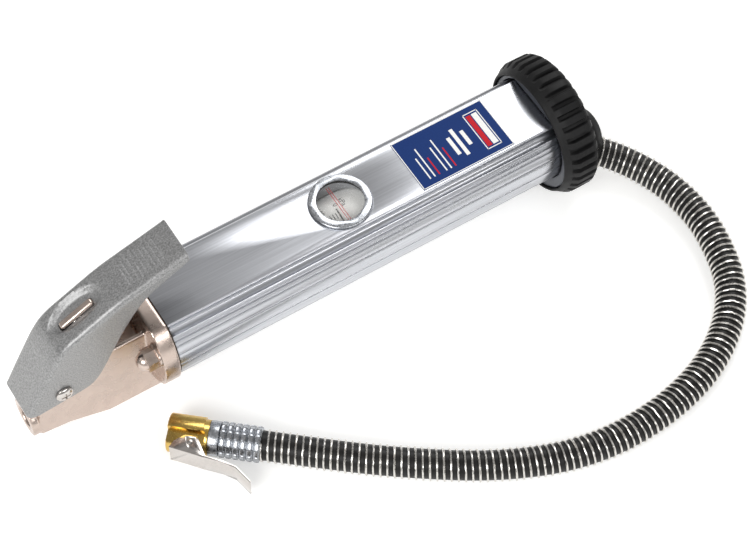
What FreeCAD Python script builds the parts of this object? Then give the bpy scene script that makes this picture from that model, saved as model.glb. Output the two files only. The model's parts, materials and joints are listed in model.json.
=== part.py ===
"""Tyre inflator with a built-in gauge, a spring-guarded hose and a clip-on tyre connector.

Millimetres. +X runs along the body from the inlet to the hose end, +Z is up.
The tool lies on z = 0, and the origin is under the middle of the tool without its hose.
"""
import FreeCAD, Part
import math
import os
import re
import Sketcher

V = FreeCAD.Vector
doc = FreeCAD.newDocument("TyreInflator")
sheet = doc.addObject("Spreadsheet::Sheet", "Dims")

# ---------------------------------------------------------------- driving dimensions
SIZES = {
    # overall
    "body_length": 222.0, "head_reach": 71.5, "tail_reach": 29.0,
    "body_radius": 26.8, "body_axis": 39.0, "flat_rise": 21.3, "bore_radius": 17.0,
    # side channels of the extrusion, and the gallery that takes air to the hose end
    "channel_radius": 2.6, "groove_radius": 0.9, "line_radius": 0.5, "gallery_radius": 3.0,
    "gallery_drop": 22.2,
    # clearances
    "slip": 0.05, "gap": 0.3, "loose": 0.2,
    # tie rods and nuts
    "rod_radius": 3.0, "rod_circle": 22.0, "rod_angle": 22.0, "nut_flats": 10.0, "nut_height": 5.5,
    "rod_end": 2.0, "nut_dome": 4.2, "washer_radius": 6.2, "washer_thickness": 1.2,
    # valve head
    "flange_thickness": 8.0, "flange_margin": 1.3, "gasket_thickness": 0.8, "neck_half": 10.0,
    "neck_top": 51.5, "keel_half": 10.0, "lip_length": 10.0, "lip_height": 11.5,
    "boss_radius": 10.0, "inlet_height": 15.0, "inlet_radius": 5.72, "inlet_depth": 14.0,
    "filter_radius": 4.6, "filter_thickness": 1.5,
    "passage_radius": 3.2, "outlet_height": 31.0, "outlet_radius": 2.5,
    "boss_length": 20.0, "nose_setback": 4.0, "nose_low": 10.0, "nose_high": 23.0,
    "chin_reach": 39.5, "throat_reach": 18.3, "throat_low": 8.0,
    "crown_front": 4.0, "brow_reach": 5.0, "brow_rise": 7.0, "face_reach": 10.5,
    "face_drop": 2.0, "keel_setback": 10.0, "keel_low": 9.2,
    "trough_half": 7.6, "trough_length": 20.0, "trough_floor": 37.0,
    # spool valve
    "valve_offset": 37.0, "spool_radius": 4.95, "stem_radius": 3.0, "spool_low": 18.5,
    "spool_length": 23.0, "plug_radius": 6.5, "plug_height": 6.5, "stem_gland": 43.5,
    "ring_section": 1.0, "spring_wire": 0.5, "land_width": 2.0, "waist_low": 7.0,
    "waist_high": 15.0, "land_top": 18.0, "plug_inset": 0.5, "socket_radius": 2.5,
    "socket_depth": 3.0,
    # trigger lever: outline measured from its pivot
    "pivot_offset": 53.7, "pivot_height": 40.6, "pin_radius": 2.0, "lever_half": 12.0,
    "lever_wall": 1.6, "web_reach": 28.47, "web_slope": 26.5, "wall_turn": 42.0, "lever_reach": 70.3,
    "lever_rise": 60.1, "nose_reach": 19.3, "nose_drop": 7.2, "pad_half": 1.9,
    "pad_length": 19.0, "pad_drop": 1.0, "contact_gap": 0.4, "web_start": 5.2, "web_end": 33.9,
    "knee_reach": 0.7, "knee_drop": 7.0, "tail_drop": 4.0, "cavity_lead": 10.9,
    "cavity_drop": 20.5, "cavity_over": 10.0, "cavity_lift": 3.2,
    # lower edge of the lever's cheeks, from its free end to its nose, measured from the pivot
    "cheek_x_a": 48.3, "cheek_z_a": 44.7, "cheek_x_b": 41.0, "cheek_z_b": 37.1,
    "cheek_x_c": 34.0, "cheek_z_c": 26.5, "cheek_x_d": 27.3, "cheek_z_d": 14.9,
    "cheek_x_e": 21.9, "cheek_z_e": 4.3, "cheek_x_f": 16.1, "cheek_z_f": -4.4,
    "cheek_x_g": 10.0, "cheek_z_g": -6.2, "cheek_x_h": 0.0, "cheek_z_h": -7.2,
    "cheek_x_i": -14.0, "cheek_z_i": -8.6,
    # pivot screw and nut
    "screw_head": 4.3, "screw_rise": 2.2, "screw_tail": 4.2, "recess_length": 4.6,
    "recess_width": 0.9, "recess_depth": 1.3, "small_nut_corner": 4.0, "small_nut_height": 3.2,
    # gauge
    "tube_radius": 10.0, "tube_bore": 8.0, "tube_start": 3.0, "tube_length": 90.0,
    "piston_start": 12.0, "piston_length": 12.0, "gauge_travel": 58.0, "shaft_radius": 3.0,
    "drum_radius": 16.2, "drum_wall": 1.6, "drum_start": 31.0, "drum_length": 87.0,
    "drum_web": 3.0, "coil_radius": 12.5, "coil_wire": 1.8, "seat_length": 5.0, "seat_bore": 6.0,
    "spigot_length": 2.6,
    # window
    "window_offset": 103.3, "window_radius": 13.4, "bezel_radius": 15.6, "bezel_rise": 1.4,
    "bezel_bore": 11.6, "bezel_edge": 0.5, "bezel_flare": 1.0, "lens_thickness": 2.6,
    "lens_flange": 12.9, "cursor_thickness": 0.8,
    "label_offset": 141.0, "label_length": 52.2, "label_half": 15.5, "label_thickness": 0.3,
    # rear cap, protective ring and boot
    "cap_margin": 0.8, "cap_lap": 8.3, "cap_plate": 9.0, "ring_drop": 3.0, "ring_radius": 36.0,
    "ring_bore": 31.4, "ring_start": 213.5, "ring_length": 19.5, "ring_chamfer": 3.0,
    "ring_taper": 6.0, "ring_nose": 3.5,
    "gallery_stop": 3.0, "boot_side": 6.0, "boot_height": 22.5, "boot_radius": 13.0,
    "boot_wall": 2.6, "boot_shoulder": 6.0, "boot_tip": 2.0, "boot_nose": 7.0, "boot_end": 5.0,
    # hose
    "hose_radius": 7.1, "hose_bore": 4.0, "guard_radius": 8.2, "tail_radius": 3.95,
    "tail_bore": 2.2, "tail_length": 9.5, "tail_seat": 6.0,
    # crimped ferrule, connector and its clip
    "ferrule_radius": 9.0, "ferrule_length": 20.0, "ferrule_edge": 0.8, "collar_radius": 8.6,
    "collar_length": 5.0, "connector_radius": 9.4, "connector_length": 19.5, "mouth_radius": 4.2,
    "mouth_depth": 12.0, "mouth_edge": 0.6, "step_depth": 0.9, "step_length": 2.5,
    "seal_radius": 4.7, "seal_bore": 2.6, "seal_thickness": 2.5, "pusher_radius": 1.2,
    "pusher_foot": 1.5, "flank_cut": 1.5, "jaw_room": 14.5, "jaw_start": 17.0,
    "clip_station": 11.5, "clip_offset": 6.9, "clip_pin_radius": 1.4, "clip_half": 6.4,
    "clip_wall": 1.0, "clip_spring_rise": 0.7, "clip_spring_wire": 0.3, "clip_pin_end": 0.5,
    "clip_rise": 0.7, "clip_reach": 32.0, "clip_stand": 15.5, "jaw_reach": 9.0, "jaw_half": 2.1,
    # bends of the clip's strip, and its cheeks and tooth, measured from its pin
    "knuckle_reach": 9.0, "knuckle_rise": 6.0, "grip_reach": 17.0, "grip_rise": 7.0,
    "bend_reach": 24.0, "bend_rise": 9.1, "cheek_tuck": 0.8, "cheek_nose": 1.5, "cheek_lift": 0.5,
    "cheek_half": 3.0, "cheek_drop": 3.4, "tooth_length": 2.4, "tooth_drop": 1.6,
    "tooth_edge": 1.0, "tooth_lift": 1.2,
}

for number, (alias, value) in enumerate(SIZES.items(), start=1):
    sheet.set("A%d" % number, alias)
    sheet.set("B%d" % number, str(value))
    sheet.setAlias("B%d" % number, alias)
doc.recompute()

# places that several pieces share, worked out from the driving dimensions
PLACES = {
    "body_x": "(head_reach - body_length - tail_reach) / 2",
    "body_end": "((head_reach + body_length - tail_reach) / 2)",
    "flat_z": "(body_axis + flat_rise)",
    "rod_y": "(rod_circle * cos(rod_angle * 1deg))",
    "rod_z": "(body_axis + rod_circle * sin(rod_angle * 1deg))",
    "flange_face": "(body_x - gasket_thickness - flange_thickness)",
    "valve_x": "(body_x - valve_offset)",
    "pivot_x": "(body_x - pivot_offset)",
    "stem_drop": "(web_reach - lever_wall - pad_drop - stem_radius - contact_gap)",
    "stem_top": "(pivot_height + (stem_drop + (pivot_offset - valve_offset) * sin(web_slope * 1deg))"
                " / cos(web_slope * 1deg))",
    "web_front": "((web_reach + web_start * sin(web_slope * 1deg)) / cos(web_slope * 1deg))",
    "web_rear": "((web_reach + web_end * sin(web_slope * 1deg)) / cos(web_slope * 1deg))",
    "window_x": "(body_x + window_offset)",
    "cap_x": "(body_end + gasket_thickness)",
    "cap_radius": "(body_radius + cap_margin)",
    "cap_back": "(cap_x + cap_plate)",
    "ring_axis": "(body_axis - ring_drop)",
}


def expand(text):
    """Write shared places out in full and point every alias at the sheet."""
    known = True
    while known:
        known = False
        for word, meaning in PLACES.items():
            text, count = re.subn(r"\b%s\b" % word, "(%s)" % meaning, text)
            known = known or count > 0
    return re.sub(r"\b([a-z]+_[a-z_]+|slip|gap|loose)\b", r"Dims.\1", text)


def size(text):
    """Value of an expression, for the shapes that Part's own functions make."""
    value = sheet.evalExpression(expand(text))
    return float(getattr(value, "Value", value))


# ---------------------------------------------------------------- ways to make a piece
TURN = {
    "X": FreeCAD.Rotation(V(0, 1, 0), 90),
    "Y": FreeCAD.Rotation(V(1, 0, 0), -90),
    "Z": FreeCAD.Rotation(),
}
REVOLVE = {
    "X": FreeCAD.Rotation(),
    "Y": FreeCAD.Rotation(V(0, 0, 1), 90),
    "Z": FreeCAD.Rotation(V(0, 1, 0), -90),
}
NODES = []


def bind(item, **sizes):
    """Bind properties of an object to expressions of the sheet."""
    for prop, text in sizes.items():
        item.setExpression(prop, expand(text))


def place(item, at, rotation):
    """Turn a piece, and bind its position."""
    item.Placement = FreeCAD.Placement(V(), rotation)
    for letter, text in zip("xyz", at):
        item.setExpression("Placement.Base." + letter, expand(text))


def cylinder(radius, length, at, axis="X"):
    item = doc.addObject("Part::Cylinder", "Cylinder")
    bind(item, Radius=radius, Height=length)
    place(item, at, TURN[axis])
    return item


def box(length, width, height, at, rotation=FreeCAD.Rotation()):
    item = doc.addObject("Part::Box", "Block")
    bind(item, Length=length, Width=width, Height=height)
    place(item, at, rotation)
    return item


def middle_box(length, half, height, at):
    """A block centred on the middle plane of the tool."""
    return box(length, "2 * (%s)" % half, height, (at[0], "-(%s)" % half, at[1]))


def fuse(*items):
    whole = doc.addObject("Part::MultiFuse", "Fusion")
    whole.Shapes = list(items)
    return whole


def cut(base, *tools):
    result = doc.addObject("Part::Cut", "Cut")
    result.Base = base
    result.Tool = tools[0] if len(tools) == 1 else fuse(*tools)
    return result


def common(first, second):
    result = doc.addObject("Part::Common", "Common")
    result.Base = first
    result.Tool = second
    return result


def group(*items):
    """Several separate solids that are one node."""
    result = doc.addObject("Part::Compound", "Group")
    result.Links = list(items)
    return result


def node(label, item):
    """Name a finished piece, and list it for export."""
    item.Label = label
    NODES.append(item)
    return item


def outline(body, plane, points):
    """A closed sketch of straight lines whose corners are bound to the sheet."""
    sketch = body.newObject("Sketcher::SketchObject", "Outline")
    origin = [item for item in body.Origin.OriginFeatures if item.Role == plane]
    sketch.AttachmentSupport = [(origin[0], "")]
    sketch.MapMode = "FlatFace"
    spots = [V(size(across), size(up), 0) for across, up in points]
    count = len(spots)
    for index in range(count):
        line = Part.LineSegment(spots[index], spots[(index + 1) % count])
        sketch.addGeometry(line, False)
    for index in range(count):
        joined = Sketcher.Constraint("Coincident", index, 2, (index + 1) % count, 1)
        sketch.addConstraint(joined)
    for index, pair in enumerate(points):
        for kind, text, axis in (("DistanceX", pair[0], -2), ("DistanceY", pair[1], -1)):
            if text == "0":
                sketch.addConstraint(Sketcher.Constraint("PointOnObject", index, 1, axis))
                continue
            number = sketch.addConstraint(Sketcher.Constraint(kind, -1, 1, index, 1, size(text)))
            name = "%s_%d" % (kind, index)
            sketch.renameConstraint(number, name)
            sketch.setExpression("Constraints." + name, expand(text))
    return sketch


def turned(points, at, axis="X"):
    """A piece turned about an axis: points are (distance along the axis, radius)."""
    body = doc.addObject("PartDesign::Body", "Turned")
    sketch = outline(body, "XY_Plane", points)
    spun = body.newObject("PartDesign::Revolution", "Revolution")
    spun.Profile = sketch
    spun.ReferenceAxis = (sketch, ["H_Axis"])
    spun.Angle = 360
    body.Tip = spun
    place(body, at, REVOLVE[axis])
    return body


def side_plate(points, half, at, plane="XZ_Plane"):
    """A piece with the given side view, as thick on each side of the middle plane as half."""
    body = doc.addObject("PartDesign::Body", "SidePlate")
    sketch = outline(body, plane, points)
    pad = body.newObject("PartDesign::Pad", "Pad")
    pad.Profile = sketch
    pad.Midplane = True
    bind(pad, Length="2 * (%s)" % half)
    body.Tip = pad
    place(body, at, FreeCAD.Rotation())
    return body


def tube_outline(length, outer, inner):
    return [("0", inner), ("0", outer), (length, outer), (length, inner)]


def solid_outline(length, outer):
    return [("0", "0"), ("0", outer), (length, outer), (length, "0")]


def helix_sleeve(length, radius, wire, at, axis):
    """The outer shape of a coil spring, as a thin sleeve one wire thick."""
    return turned(tube_outline(length, radius, "%s - 2 * %s" % (radius, wire)), at, axis)


# ---------------------------------------------------------------- body
def make_body():
    """Extruded body: round with a flat top, side channels, and bores for the works."""
    start = ("body_x", "0", "body_axis")
    bar = cylinder("body_radius", "body_length", start)
    trim = middle_box("body_length", "body_radius", "body_radius + flat_rise",
                      ("body_x", "body_axis - body_radius"))
    cuts = [cylinder("bore_radius", "body_length", start)]
    lines = [("channel_radius", 45), ("groove_radius", 34), ("line_radius", 28),
             ("line_radius", 17), ("line_radius", 1), ("line_radius", -20)]
    for radius, angle in lines:
        for side in (1, -1):
            across = "%d * body_radius * cos(%d * 1deg)" % (side, angle)
            height = "body_axis + body_radius * sin(%d * 1deg)" % angle
            cuts.append(cylinder(radius, "body_length", ("body_x", across, height)))
    for side in (1, -1):
        cuts.append(cylinder("rod_radius + loose", "body_length",
                             ("body_x", "%d * rod_y" % side, "rod_z")))
    cuts.append(cylinder("gallery_radius", "body_length",
                         ("body_x", "0", "body_axis - gallery_drop")))
    cuts.append(cylinder("window_radius", "flat_rise", ("window_x", "0", "body_axis"), "Z"))
    node("body_extrusion", cut(common(bar, trim), *cuts))


def end_outline(start, length, margin):
    """The body's end view with a margin all round, as one solid."""
    round_part = cylinder("body_radius + %s" % margin, length, (start, "0", "body_axis"))
    trim = middle_box(length, "body_radius + %s" % margin,
                      "body_radius + flat_rise + 2 * (%s)" % margin,
                      (start, "body_axis - body_radius - %s" % margin))
    return common(round_part, trim)


def make_gaskets():
    for label, start in (("head_gasket", "body_x - gasket_thickness"), ("rear_gasket", "body_end")):
        sheet_part = end_outline(start, "gasket_thickness", "-gap")
        holes = [cylinder("bore_radius", "gasket_thickness", (start, "0", "body_axis")),
                 cylinder("gallery_radius", "gasket_thickness",
                          (start, "0", "body_axis - gallery_drop"))]
        for side in (1, -1):
            holes.append(cylinder("rod_radius + loose", "gasket_thickness",
                                  (start, "%d * rod_y" % side, "rod_z")))
        node(label, cut(sheet_part, *holes))


# ---------------------------------------------------------------- valve head
def make_head():
    """Die-cast head: threaded inlet, valve bores, open trough and the flange on the body."""
    neck = side_plate(
        [("-head_reach + nose_setback", "nose_low"), ("-head_reach + throat_reach", "throat_low"),
         ("-head_reach + chin_reach", "0"),
         ("-flange_thickness", "0"), ("-flange_thickness", "neck_top"),
         ("-pivot_offset + crown_front", "neck_top"),
         ("-pivot_offset - brow_reach", "pivot_height + brow_rise"),
         ("-pivot_offset - face_reach", "pivot_height - face_drop"),
         ("-head_reach + nose_setback", "nose_high")],
        "neck_half", ("body_x", "0", "0"))
    keel = side_plate(
        [("-head_reach + keel_setback", "keel_low"), ("-head_reach + throat_reach", "throat_low"),
         ("-head_reach + chin_reach", "0"),
         ("lip_length", "0"), ("lip_length", "lip_height"), ("-gasket_thickness", "lip_height"),
         ("-gasket_thickness", "nose_high"), ("-head_reach + keel_setback", "nose_high")],
        "keel_half", ("body_x", "0", "0"))
    boss = cylinder("boss_radius", "boss_length", ("body_x - head_reach", "0", "inlet_height"))
    flange = end_outline("flange_face", "flange_thickness", "flange_margin")
    valve = ("valve_x", "0", "0")
    plug_boss = cylinder("plug_radius + lever_wall", "nose_low", valve, "Z")
    cuts = [
        middle_box("trough_length", "trough_half", "neck_top",
                   ("flange_face - trough_length", "trough_floor")),
        cylinder("inlet_radius", "inlet_depth", ("body_x - head_reach", "0", "inlet_height")),
        cylinder("filter_radius", "inlet_depth + filter_thickness",
                 ("body_x - head_reach", "0", "inlet_height")),
        cylinder("passage_radius", "head_reach - valve_offset",
                 ("body_x - head_reach", "0", "inlet_height")),
        cylinder("spool_radius + slip", "stem_gland", valve, "Z"),
        cylinder("plug_radius", "plug_height", valve, "Z"),
        cylinder("stem_radius + slip", "neck_top + gap", valve, "Z"),
        cylinder("outlet_radius", "valve_offset", ("valve_x", "0", "outlet_height")),
        cylinder("gallery_radius", "valve_offset", ("valve_x", "0", "body_axis - gallery_drop")),
        cylinder("tube_radius + loose", "spigot_length",
                 ("body_x - gasket_thickness - spigot_length", "0", "body_axis")),
        cylinder("pin_radius + slip", "2 * keel_half",
                 ("pivot_x", "-keel_half", "pivot_height"), "Y"),
    ]
    for side in (1, -1):
        cuts.append(cylinder("rod_radius + loose", "flange_thickness",
                             ("flange_face", "%d * rod_y" % side, "rod_z")))
    node("valve_head", cut(fuse(neck, keel, boss, plug_boss, flange), *cuts))


def make_inlet_filter():
    """Gauze disc pressed into its seat behind the inlet thread."""
    depth = "body_x - head_reach + inlet_depth"
    node("inlet_filter", cylinder("filter_radius - slip", "filter_thickness",
                                  (depth, "0", "inlet_height")))


def make_valve():
    """Spool with its stem, its rings and spring, and the plug that closes the bore."""
    neck = "spool_radius - 1.5 * ring_section"
    lands = [("0", "0"), ("0", "spool_radius"), ("land_width", "spool_radius"), ("land_width", neck),
             ("land_width + 2 * ring_section", neck),
             ("land_width + 2 * ring_section", "spool_radius"),
             ("waist_low", "spool_radius"), ("waist_low", "stem_radius"),
             ("waist_high", "stem_radius"), ("waist_high", "spool_radius"),
             ("land_top", "spool_radius"), ("land_top", neck), ("land_top + 2 * ring_section", neck),
             ("land_top + 2 * ring_section", "spool_radius"),
             ("spool_length", "spool_radius"), ("spool_length", "stem_radius"),
             ("stem_top - spool_low", "stem_radius"), ("stem_top - spool_low", "0")]
    stem = turned(lands, ("valve_x", "0", "spool_low"), "Z")
    tip = doc.addObject("Part::Sphere", "Tip")
    bind(tip, Radius="stem_radius")
    place(tip, ("valve_x", "0", "stem_top"), FreeCAD.Rotation())
    node("valve_spool", fuse(stem, tip))
    rings = []
    for height in ("land_width + ring_section", "land_top + ring_section"):
        rings.append(turned([("-ring_section", neck), ("-ring_section", "spool_radius"),
                             ("ring_section", "spool_radius"), ("ring_section", neck)],
                            ("valve_x", "0", "spool_low + %s" % height), "Z"))
    node("spool_rings", group(*rings))
    node("spool_spring", helix_sleeve("spool_low - plug_height", "spool_radius - gap",
                                      "spring_wire", ("valve_x", "0", "plug_height"), "Z"))
    foot = ("valve_x", "0", "plug_inset")
    plug = cylinder("plug_radius", "plug_height - plug_inset", foot, "Z")
    socket = cylinder("socket_radius", "socket_depth", foot, "Z")
    node("spool_plug", cut(plug, socket))


def make_lever():
    """Pressed channel lever: web over the head, deep cheeks, and a rubbing pad in its slot."""
    pivot = ("pivot_x", "0", "pivot_height")
    web = [("-nose_reach", "-nose_drop"), ("-knee_reach", "web_front - knee_drop"),
           ("web_start", "web_front"), ("web_end", "web_rear"), ("lever_reach", "lever_rise")]
    under = [("lever_reach", "lever_rise - tail_drop")]
    for letter in "abcdefghi":
        under.append(("cheek_x_" + letter, "cheek_z_" + letter))
    outer = side_plate(web + under, "lever_half", pivot)
    low = "-nose_drop - cavity_drop"
    shift = "lever_wall / cos((wall_turn - web_slope) * 1deg)"
    cavity = side_plate(
        [("-nose_reach - cavity_lead", low)] + web[1:4] +
        [("lever_reach + cavity_over", "lever_rise + cavity_lift"),
         ("lever_reach + cavity_over", low)],
        "lever_half - lever_wall",
        ("pivot_x + %s * sin(wall_turn * 1deg)" % shift, "0",
         "pivot_height - %s * cos(wall_turn * 1deg)" % shift))
    hole = cylinder("pin_radius + slip", "2 * lever_half",
                    ("pivot_x", "-lever_half", "pivot_height"), "Y")
    pad = rubbing_pad("pad_half", "pad_length")
    slot = rubbing_pad("pad_half", "pad_length")
    node("trigger_lever", cut(outer, cavity, hole, slot))
    node("lever_pad", pad)


def rubbing_pad(half, length):
    """Bar across the web above the valve stem, level with the web's slope."""
    reach = "(pivot_offset - valve_offset)"
    rise = "(web_reach + %s * sin(web_slope * 1deg)) / cos(web_slope * 1deg)" % reach
    thick = "lever_wall + pad_drop"
    item = doc.addObject("Part::Box", "Pad")
    bind(item, Length=length, Width="2 * %s" % half, Height=thick)
    item.Placement = FreeCAD.Placement(V(), FreeCAD.Rotation(V(0, 1, 0), -size("web_slope")))
    item.setExpression("Placement.Rotation.Angle", expand("-web_slope * 1deg"))
    along = "%s / 2 * cos(web_slope * 1deg)" % length
    drop = "(%s)" % thick
    item.setExpression("Placement.Base.x",
                       expand("valve_x - %s + %s * sin(web_slope * 1deg)" % (along, drop)))
    item.setExpression("Placement.Base.y", expand("-%s" % half))
    item.setExpression("Placement.Base.z", expand(
        "pivot_height + %s - %s / 2 * sin(web_slope * 1deg) - %s * cos(web_slope * 1deg)"
        % (rise, length, drop)))
    return item


def make_pivot():
    """Cross-headed screw through the cheeks and the head, with its nut and thin washers."""
    start = "-(lever_half + gap + screw_rise)"
    tip = "2 * lever_half + 2 * gap + screw_rise + screw_tail"
    screw = turned(
        [("0", "0"), ("0", "screw_head / 2"), ("screw_rise / 4", "screw_head * 0.8"),
         ("screw_rise * 0.6", "screw_head"), ("screw_rise", "screw_head"),
         ("screw_rise", "pin_radius"), (tip, "pin_radius"), (tip, "0")],
        ("pivot_x", start, "pivot_height"), "Y")
    recess = [
        box("recess_length", "recess_depth", "recess_width",
            ("pivot_x - recess_length / 2", start, "pivot_height - recess_width / 2")),
        box("recess_width", "recess_depth", "recess_length",
            ("pivot_x - recess_width / 2", start, "pivot_height - recess_length / 2")),
    ]
    node("pivot_screw", cut(screw, *recess))
    nut = doc.addObject("Part::Prism", "Hex")
    nut.Polygon = 6
    bind(nut, Circumradius="small_nut_corner", Height="small_nut_height")
    place(nut, ("pivot_x", "lever_half + gap", "pivot_height"), TURN["Y"])
    hole = cylinder("pin_radius", "small_nut_height",
                    ("pivot_x", "lever_half + gap", "pivot_height"), "Y")
    node("pivot_nut", cut(nut, hole))


# ---------------------------------------------------------------- tie rods
def make_fasteners():
    rods = []
    nuts = []
    washers = []
    face = "flange_face"
    for side in (1, -1):
        across = "%d * rod_y" % side
        front = "(%s - washer_thickness - nut_height - rod_end)" % face
        rods.append(cylinder("rod_radius", "cap_back - rod_end - %s" % front,
                             (front, across, "rod_z")))
        washers.append(turned(tube_outline("washer_thickness", "washer_radius", "rod_radius + slip"),
                              ("%s - washer_thickness" % face, across, "rod_z")))
        start = "(%s - washer_thickness - nut_height - nut_dome)" % face
        hexagon = doc.addObject("Part::Prism", "Hex")
        hexagon.Polygon = 6
        bind(hexagon, Circumradius="nut_flats / 2 / cos(30deg)", Height="nut_height")
        place(hexagon, ("%s + nut_dome" % start, across, "rod_z"), TURN["X"])
        dome = doc.addObject("Part::Sphere", "Dome")
        bind(dome, Radius="nut_flats / 2 - gap")
        place(dome, ("%s + nut_dome + 2 * gap" % start, across, "rod_z"), FreeCAD.Rotation())
        hole = cylinder("rod_radius", "nut_height + rod_end",
                        ("%s + nut_dome - rod_end" % start, across, "rod_z"))
        nuts.append(cut(fuse(hexagon, dome), hole))
    node("tie_rods", group(*rods))
    node("acorn_nuts", group(*nuts))
    node("nut_washers", group(*washers))


# ---------------------------------------------------------------- gauge
def make_gauge():
    axis = ("0", "body_axis")
    head_x = "(body_x - gasket_thickness - spigot_length + gap)"
    node("gauge_tube", turned(tube_outline("tube_length", "tube_radius", "tube_bore"),
                              (head_x,) + axis))
    groove = "piston_length / 2 - ring_section"
    piston_x = "(body_x + piston_start)"
    node("gauge_piston", turned(
        [("0", "0"), ("0", "tube_bore - slip"), (groove, "tube_bore - slip"),
         (groove, "tube_bore - 2 * ring_section"),
         (groove + " + 2 * ring_section", "tube_bore - 2 * ring_section"),
         (groove + " + 2 * ring_section", "tube_bore - slip"),
         ("piston_length", "tube_bore - slip"), ("piston_length", "0")], (piston_x,) + axis))
    node("piston_ring", turned(
        tube_outline("2 * ring_section", "tube_bore - slip", "tube_bore - 2 * ring_section"),
        ("%s + %s" % (piston_x, groove),) + axis))
    drum_x = "(body_x + drum_start)"
    web_x = "(%s + drum_length - drum_web)" % drum_x
    node("gauge_shaft", turned(
        solid_outline("%s - %s - piston_length" % (web_x, piston_x), "shaft_radius"),
        ("%s + piston_length" % piston_x,) + axis))
    node("scale_drum", turned(
        [("0", "drum_radius - drum_wall"), ("0", "drum_radius"), ("drum_length", "drum_radius"),
         ("drum_length", "0"), ("drum_length - drum_web", "0"),
         ("drum_length - drum_web", "drum_radius - drum_wall")], (drum_x,) + axis))
    seat_x = "(body_end - seat_length)"
    node("gauge_spring", helix_sleeve("%s - %s - drum_web" % (seat_x, web_x),
                                      "coil_radius", "coil_wire",
                                      ("%s + drum_web" % web_x,) + axis, "X"))
    node("spring_seat", turned(
        tube_outline("seat_length", "bore_radius - gap", "seat_bore"), (seat_x,) + axis))


def make_window():
    """Window over the scale: ring, clear lens, its seal and the disc with the cursor lines."""
    middle = ("window_x", "0")
    node("window_bezel", turned(
        [("0", "window_radius"), ("0", "bezel_radius"), ("bezel_rise - bezel_edge", "bezel_radius"),
         ("bezel_rise", "bezel_radius - bezel_edge"), ("bezel_rise", "bezel_bore"),
         ("bezel_rise - bezel_edge", "bezel_bore"), ("0", "bezel_bore + bezel_flare")],
        middle + ("flat_z",), "Z"))
    node("window_lens", turned(solid_outline("lens_thickness", "lens_flange"),
                               middle + ("flat_z - lens_thickness",), "Z"))
    node("cursor_disc", turned(solid_outline("cursor_thickness", "lens_flange"),
                               middle + ("flat_z - lens_thickness - cursor_thickness",), "Z"))
    node("window_seal", turned(tube_outline("lens_thickness", "window_radius", "lens_flange"),
                               middle + ("flat_z - lens_thickness",), "Z"))


def make_label():
    node("label_plate", middle_box("label_length", "label_half", "label_thickness",
                                   ("body_x + label_offset", "flat_z")))


# ---------------------------------------------------------------- hose end of the tool
def make_rear_cap():
    """Cast cap that closes the body and carries the hose tail, lapping round the body's end."""
    plate = cylinder("cap_radius", "cap_plate", ("cap_x", "0", "body_axis"))
    core = cylinder("ring_bore - gap", "cap_plate", ("cap_x", "0", "ring_axis"))
    skirt = cylinder("ring_bore - gap", "cap_lap", ("cap_x - cap_lap", "0", "ring_axis"))
    hollow = end_outline("cap_x - cap_lap", "cap_lap", "gap")
    shell = cut(skirt, hollow)
    cuts = [cylinder("gallery_radius", "cap_plate - gallery_stop",
                     ("cap_x", "0", "body_axis - gallery_drop"))]
    for side in (1, -1):
        cuts.append(cylinder("rod_radius", "cap_plate - rod_end",
                             ("cap_x", "%d * rod_y" % side, "rod_z")))
    whole = fuse(common(plate, core), core, shell)
    seat = size("tail_seat")
    cuts.append(hose_axis_cylinder("tail_radius", -seat, 2 * seat))
    cuts.append(hose_axis_cylinder("guard_radius + gap", 0.0, size("tail_reach")))
    node("rear_end_cap", cut(whole, *cuts))


def make_ring():
    """Black rubber ring that takes the knocks at the hose end."""
    bore = "ring_bore"
    node("rubber_ring", turned(
        [("0", bore), ("0", "ring_radius - ring_nose"), ("ring_taper", "ring_radius"),
         ("ring_length - ring_chamfer", "ring_radius"),
         ("ring_length", "ring_radius - ring_chamfer"),
         ("ring_length", bore)], ("body_x + ring_start", "0", "ring_axis")))


HOSE_ROUTE = [
    V(1.6, -3.9, 17.4), V(16.2, -14.5, 13.2), V(30.7, -33.0, 9.6), V(38.7, -56.0, 8.5),
    V(39.2, -83.0, 8.4), V(27.7, -118.5, 8.4), V(-2.3, -143.5, 8.4), V(-40.8, -154.5, 8.4),
    V(-83.8, -153.5, 8.4), V(-124.3, -137.5, 8.4), V(-163.3, -111.0, 8.8), V(-192.3, -88.0, 9.7),
    V(-214.3, -69.0, 9.7),
]
HOSE_POINTS = [V(size("cap_back"), 0, 0) + point for point in HOSE_ROUTE]
ARC_SHARE = 0.45


def hose_path():
    """Straight runs joined by tangent arcs, as one wire, with the length of the wire."""
    edges = []
    last = HOSE_POINTS[0]
    radii = []
    for before, corner, after in zip(HOSE_POINTS, HOSE_POINTS[1:], HOSE_POINTS[2:]):
        inward = (before - corner).normalize()
        onward = (after - corner).normalize()
        run = min((before - corner).Length, (after - corner).Length)
        reach = ARC_SHARE * run
        first = corner + inward * reach
        final = corner + onward * reach
        half_turn = (math.pi - inward.getAngle(onward)) / 2
        radius = reach / math.tan(half_turn)
        centre_way = (inward + onward).normalize()
        centre = corner + centre_way * math.hypot(radius, reach)
        edges.append(Part.LineSegment(last, first).toShape())
        edges.append(Part.Arc(first, centre - centre_way * radius, final).toShape())
        last = final
        radii.append(radius)
    edges.append(Part.LineSegment(last, HOSE_POINTS[-1]).toShape())
    print("hose arc radii", [round(radius, 1) for radius in radii])
    return Part.Wire(edges)


def hose_axis_cylinder(radius, start, length):
    """A cylinder on the line of the hose's first run, measured from the hose's start."""
    way = (HOSE_POINTS[1] - HOSE_POINTS[0]).normalize()
    item = doc.addObject("Part::Cylinder", "Port")
    bind(item, Radius=radius)
    item.Height = length
    item.Placement = FreeCAD.Placement(HOSE_POINTS[0] + way * start, FreeCAD.Rotation(V(0, 0, 1), way))
    return item


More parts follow.
